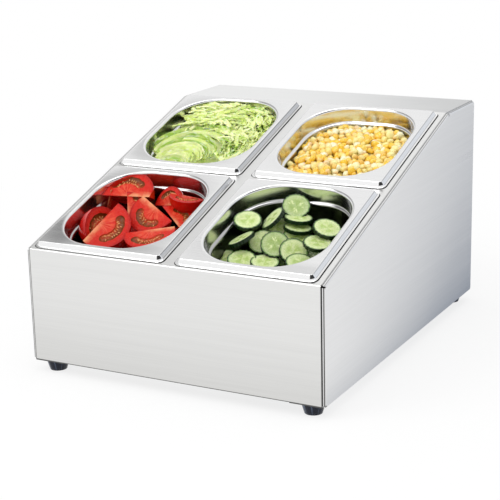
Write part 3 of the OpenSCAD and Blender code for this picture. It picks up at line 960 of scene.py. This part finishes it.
def lettuce_leaf():
    """Crisp leaf, from white ribs over pale yellow to fresh green, with fine veins."""
    m = material("lettuce_leaf")
    place = m.attribute("cut_place")
    tone = m.attribute("tint", "Fac")
    veins = m.noise(m.stretched(place, (0.25, 1.0, 1.0)), 420.0, 4.0, 0.6, 0.5)
    cloud = m.noise(place, 70.0, 3.0, 0.6)
    green = m.range(cloud + tone * 0.55, 0.45, 1.05)
    colour = m.mix(green, (0.86, 0.92, 0.46), (0.66, 0.81, 0.17))
    colour = m.mix(m.range(tone * 1.5 + cloud, 1.65, 1.95), colour, (0.32, 0.54, 0.05))
    colour = m.mix(m.range(veins, 0.48, 0.68, 0.0, 0.75), colour, (0.93, 0.96, 0.78))
    return wet(m, colour, 0.34 + veins * 0.1, m.bump(veins + cloud, 0.0008, 0.5), 0.1, 0.3, 0.4)


def lettuce_shred(name, leaf, length, width, slant, bend, twist, steps=12):
    """A shred of leaf: a crinkled strip, bent along its length and twisted."""
    shred = start(name, bpy.ops.mesh.primitive_grid_add, x_subdivisions=steps, y_subdivisions=2, size=1.0)
    edit(shred, "VERT")
    stretch(length * MM, width * MM)
    leave()
    shift = Vector((random.uniform(-1, 1), random.uniform(-1, 1), 0.0))
    shred.data.transform(Matrix.Translation(shift))
    remember(shred)
    crinkle = bpy.data.textures.new("crinkle", "CLOUDS")
    crinkle.noise_scale = 0.008
    modify(shred, "DISPLACE", texture=crinkle, strength=5.0 * MM, mid_level=0.5)
    bpy.data.textures.remove(crinkle)
    shred.data.transform(turned(slant, "X") @ Matrix.Translation(-shift))
    modify(shred, "SIMPLE_DEFORM", deform_method="BEND", deform_axis="Z", angle=math.radians(bend))
    modify(shred, "SIMPLE_DEFORM", deform_method="TWIST", deform_axis="X", angle=math.radians(twist))
    modify(shred, "SOLIDIFY", thickness=0.55 * MM)
    dress(shred, leaf)
    smooth(shred, 60.0, False)
    return shred


def serve_lettuce():
    """Loose shreds laid round a hollow in the front of the heap, and long curved shreds within it."""
    leaf = lettuce_leaf()
    masters = [lettuce_shred("shred_%d" % i, leaf, random.uniform(26, 50), random.uniform(2.2, 4.4),
                             random.uniform(-25, 60), random.uniform(-150, 30), random.uniform(-70, 70))
               for i in range(24)]
    shreds = []
    for height, count in ((-32, 40), (-22, 80), (-15, 170), (-11, 190), (-7, 200), (-3, 180)):
        while count:
            x, v = random.uniform(-62, 64), random.uniform(-68, 73)
            out = math.hypot(*past_core(x - 2.0, v - 2.0)) / 47.0
            away = math.hypot(x + 17.0, v + 33.0)
            drift = 60.0 * noise.noise(Vector((x, v, 0.0)) * 0.03)
            if out > 1.0 or (height > -20 and (x < -42.0 or away < 46.0)) or (height > -9 and away < 51.0):
                continue
            w = height + 3.0 - 7.0 * out ** 4 + 0.08 * v - 0.05 * x + random.uniform(-2, 2)
            along = math.degrees(math.atan2(v + 45.0, x + 20.0)) - 90.0
            turn = along + drift + random.gauss(0, 12 if away < 60.0 else 22)
            tilt, size = random.uniform(-16, 16), random.uniform(0.8, 1.15)
            shreds.append(lay(masters[count % 24], "laid_%d" % len(shreds), (x, v, w), turn, tilt,
                              size=size))
            count -= 1
    for k in range(16):
        reach = 13.0 + 2.3 * k + random.uniform(-1.5, 1.5)
        layer = lettuce_shred("layer", leaf, reach * math.radians(178.0), random.uniform(3.4, 5.6),
                              random.uniform(42, 62), -178.0, 0.0, 40)
        place = -34.0 + 1.3 * k, -46.0 + 4.0 * k, -14.0 + 0.8 * k
        arc = lay(layer, "arc_%d" % k, place, random.uniform(-9, 3), 4.0)
        tint(arc, random.choice((0.15, 0.4, 0.7, 0.9)))
        shreds.append(arc)
        bpy.data.objects.remove(layer)
    for master in masters:
        bpy.data.objects.remove(master)
    mound = heap("mound", (1.0, 1.0, -56.0), (60.0, 68.0, 46.0), leaf, 0.3)
    serve("lettuce_shreds", [mound] + shreds, "rear_left")


def corn_kernel():
    """Plump boiled kernels, from deep yellow to cream, each browner towards its tip."""
    m = material("corn_kernel")
    place = m.attribute("cut_place")
    along = m.axes(place)[0] * METRE
    tone = m.attribute("tint", "Fac")
    grain = m.noise(place, 500.0, 3.0)
    colour = m.mix(m.range(tone, 0.15, 0.70), (0.96, 0.61, 0.035), (0.97, 0.84, 0.34))
    colour = m.mix(m.range(tone, 0.74, 0.92), colour, (0.97, 0.92, 0.62))
    colour = m.mix(m.range(along + grain * 2.0, 1.0, -4.2, 0.0, 0.6), colour, (0.80, 0.38, 0.03))
    return wet(m, colour, 0.18 + grain * 0.1, m.bump(grain, 0.0006, 0.5), coat=0.6, soft=0.15)


def serve_corn():
    yellow = corn_kernel()
    kernel = start("kernel", bpy.ops.mesh.primitive_cube_add, size=2.0 * MM)
    edit(kernel, "VERT")
    bpy.ops.mesh.select_all(action="SELECT")
    bpy.ops.mesh.subdivide(number_cuts=2, smoothness=0.5)
    bpy.ops.transform.resize(value=(3.6, 3.2, 2.3))
    pick("verts", lambda v: v.co.x < -1.6 * MM)
    bpy.ops.transform.resize(value=(1.0, 0.66, 0.72))
    leave()
    dress(kernel, yellow)
    remember(kernel)
    smooth(kernel, 80.0, False)
    kernels = []
    pitch, widest = 7.6, 45.0
    for layer in range(3):
        for column in range(-8, 9):
            for row in range(-10, 11):
                x = (column + 0.5 * (row % 2)) * pitch + random.uniform(-1.6, 1.6)
                v = row * pitch * 0.87 + random.uniform(-1.6, 1.6)
                out = math.hypot(*past_core(x, v))
                if out > widest - 1.5 * layer:
                    continue
                crown = -13.0 + 7.0 * noise.noise(Vector((x, v, 0.0)) * 0.045) - 4.0 * (out / widest) ** 4
                w = crown - 5.5 * layer + random.uniform(-1.5, 1.5)
                kernels.append(lay(kernel, "kernel_%d" % len(kernels), (x, v, w), random.uniform(0, 360),
                                   random.uniform(-90, 90), random.uniform(0, 360),
                                   random.uniform(0.8, 1.12)))
    bed = heap("bed", (0.0, 0.0, -58.0), (54.0, 61.0, 36.0), yellow, 0.2)
    bpy.data.objects.remove(kernel)
    serve("corn_kernels", [bed] + kernels, "rear_right")


# The floor and the light

def set_floor():
    """A pale floor, white to the camera but for a soft shadow; to glossy rays it glows with painted shade,
    which the steel mirrors.
    """
    floor = start("floor", bpy.ops.mesh.primitive_plane_add, size=9.0)
    m = material("pale_floor")
    rays = m.node("ShaderNodeLightPath").socket.node.outputs
    seen, glossy = Value(m, rays["Is Camera Ray"]), Value(m, rays["Is Glossy Ray"])
    x, y, z = m.axes(m.place())
    # Painted shade for glossy rays: darker near the station's front, and darker and cool in a band to its
    # right, in place of the station's shadow.
    front = m.range(cad_box[0].y - y, 0.0, 0.36, 0.77, 1.11)
    side = m.range(x - y * 0.29, 0.11, 0.31, 0.38, 1.06)
    side = side * m.range(x, cad_box[1].x, cad_box[1].x + 0.07, 0.80, 1.0)
    right = m.range(y, cad_box[0].y - 0.02, cad_box[0].y + 0.06) * m.range(x, 0.0, 0.12)
    shade = front + (side - front) * right
    cool = m.mix(right, (0.20, 0.19, 0.16), (0.0, 0.05, 0.14))
    mirrored = m.mix(shade, cool, (1.0, 1.0, 1.0))
    tone = m.mix(glossy, (1.0, 1.0, 1.0), mirrored)
    far = m.range((x * x + y * y) ** 0.5, 0.35, 0.9)
    cloudy = m.mix(m.noise(m.place(), 3.0), (0.86, 0.86, 0.86), (0.88, 0.88, 0.88))
    lit = m.node("ShaderNodeBsdfDiffuse", sockets={"Color": cloudy})
    white = m.node("ShaderNodeEmission", sockets={"Color": tone})
    part = seen * (0.78 + far * 0.22) + glossy
    dress(floor, m.surface(m.node("ShaderNodeMixShader", sockets={0: part, 1: lit, 2: white})))


def set_light():
    w = Finish(bpy.data.worlds.new("studio"), "ShaderNodeOutputWorld")
    bpy.context.scene.world = w.owner
    rays = w.node("ShaderNodeLightPath").socket.node.outputs
    seen = Value(w, rays["Is Camera Ray"])
    diffuse = Value(w, rays["Is Diffuse Ray"])
    x, y, z = w.axes(w.node("ShaderNodeTexCoord", out="Generated"))
    shade = w.range(x * 0.72 + y * 0.68, 0.12, 0.85) * w.range(z, 0.75, 0.25)
    tone = w.mix(shade, (1.0, 1.0, 1.0), (0.80, 0.83, 0.88))
    left = w.range(x, -0.45, -0.59) * w.range(z, 0.45, 0.6)
    rear = w.range(x, -0.42, -0.33) * w.range(z, 0.4, 0.25) * w.range(y, 0.6, 0.8) * w.range(x, 0.2, 0.0)
    tone = w.mix(left * 0.66 + rear * 0.4, tone, (0.0, 0.0, 0.0))
    aside = x * 0.55 - y * 0.45 + z * 0.70
    tone = w.mix(w.range(aside, 0.90, 0.93), tone, (0.03, 0.03, 0.03))
    tone = w.mix(diffuse, tone, (0.85, 0.85, 0.85))
    studio = w.node("ShaderNodeBackground", sockets={"Color": tone})
    white = w.node("ShaderNodeBackground", sockets={"Color": (1.0, 1.0, 1.0, 1.0)})
    w.surface(w.node("ShaderNodeMixShader", sockets={0: seen, 1: studio, 2: white}))
    for name, place, size, power in (("key", (-1.3, -1.7, 2.3), 1.6, 24.0),
                                     ("top", (0.3, -0.2, 2.6), 1.4, 12.0)):
        lamp = start(name, bpy.ops.object.light_add, type="AREA", location=place)
        lamp.data.size = size
        lamp.data.energy = power
        lamp.rotation_euler = (Vector(place) - Vector((0.0, 0.0, 0.15))).to_track_quat("Z", "Y").to_euler()


set_camera()
bpy.context.scene.view_settings.view_transform = "Standard"
set_light()
set_floor()

deck_steel = brushed_steel("deck_steel", (0.83, 0.83, 0.82), 0.30, painted_shading=sheet_edge_shade)
side_steel = brushed_steel("side_steel", (0.83, 0.83, 0.83), 0.30, (900.0, 8.0, 900.0), painted_shading=side_joint_shade)
back_steel = brushed_steel("back_steel", (0.83, 0.83, 0.82), 0.30)
plain_steel = brushed_steel("plain_steel", (0.72, 0.73, 0.74), 0.36)
rim_steel = brushed_steel("rim_steel", (0.84, 0.84, 0.84), 0.22, painted_shading=rim_painted_shade)
# Painted highlight: the skirt is the same steel as the land, in a brighter copy for the light its bands
# catch.
skirt_steel_painted_bright = brushed_steel("skirt_steel_painted_bright", (0.92, 0.92, 0.92), 0.18, depth=0.3, satin=0.02, painted_shading=rim_painted_shade)
well_steel = brushed_steel("well_steel", (0.78, 0.78, 0.78), 0.17, depth=0.3, satin=0.04, painted_shading=deep_shade)

make_housing(deck_steel, side_steel, back_steel, plain_steel)
make_pans(rim_steel, well_steel, skirt_steel_painted_bright)
make_feet(foot_rubber())

random.seed(6)
serve_cucumber()
serve_tomato()
serve_lettuce()
serve_corn()

for name in ("base_rivets", "back_rivets"):
    dress(nodes[name], plain_steel)
